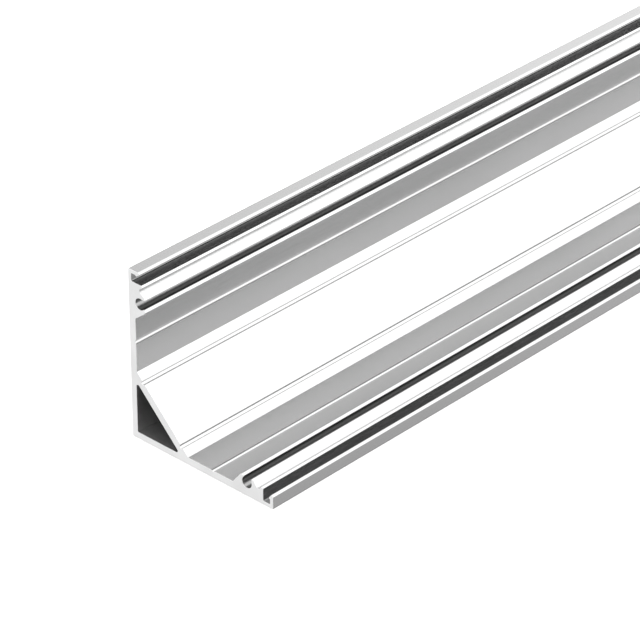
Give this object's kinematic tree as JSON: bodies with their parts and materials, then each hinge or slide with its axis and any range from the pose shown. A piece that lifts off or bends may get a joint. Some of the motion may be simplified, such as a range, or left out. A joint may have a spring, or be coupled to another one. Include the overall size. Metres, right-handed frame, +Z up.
{
  "type": "corner led strip profile",
  "caption": "Right-angle corner extrusion for an LED strip: equal legs, a diagonal strip land over a closed duct, cover slots and snap grooves at the tips.",
  "frame": {"origin": "centre of the lower leg's outer face, which lies on the floor", "axes": "+X along the bar, +Z up the standing leg, which is at the +Y side; the open side faces -Y and +Z"},
  "size_m": [1, 0.03, 0.03],
  "materials": {
    "aluminium": "satin clear-anodised extrusion, fine die lines along the bar, sawn ends"
  },
  "bodies": {
    "root": {"corner_profile": "aluminium"}
  },
  "joints": []
}
